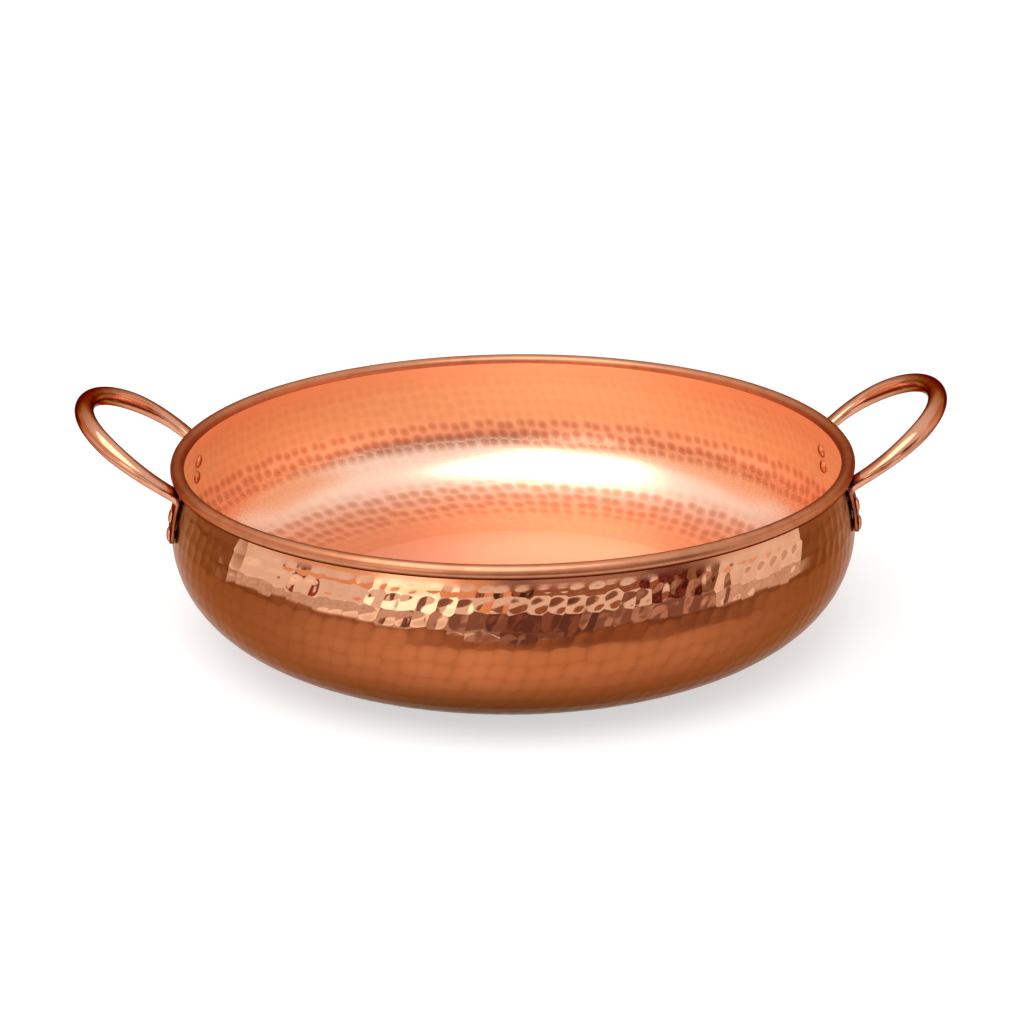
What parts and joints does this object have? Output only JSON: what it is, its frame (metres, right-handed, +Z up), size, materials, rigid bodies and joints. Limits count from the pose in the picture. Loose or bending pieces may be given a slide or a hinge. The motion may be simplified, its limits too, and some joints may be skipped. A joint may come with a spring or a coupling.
{
  "type": "pan",
  "caption": "Wide round-bellied hammered copper pan with a rolled wired rim, a flat base and a riveted loop handle on each side.",
  "frame": {"origin": "middle of the underside of the flat base", "axes": "+Z up; X runs through the middles of the two handles, handle_right at +X; the side seen in the picture faces -Y"},
  "size_m": [0.457, 0.363, 0.1257],
  "materials": {
    "hammered_copper": "raised copper sheet, hammered in rows and polished, satin towards the base",
    "wire_copper": "drawn copper wire, inside the rolled rim",
    "forged_copper": "smooth polished forged copper rod",
    "rivet_copper": "polished copper rivets with low round heads"
  },
  "bodies": {
    "root": {"pot_body": "hammered_copper", "rim_wire": "wire_copper", "handle_left": "forged_copper", "handle_right": "forged_copper", "rivet_left_front_lower": "rivet_copper", "rivet_left_front_upper": "rivet_copper", "rivet_left_back_lower": "rivet_copper", "rivet_left_back_upper": "rivet_copper", "rivet_right_front_lower": "rivet_copper", "rivet_right_front_upper": "rivet_copper", "rivet_right_back_lower": "rivet_copper", "rivet_right_back_upper": "rivet_copper"}
  },
  "joints": []
}
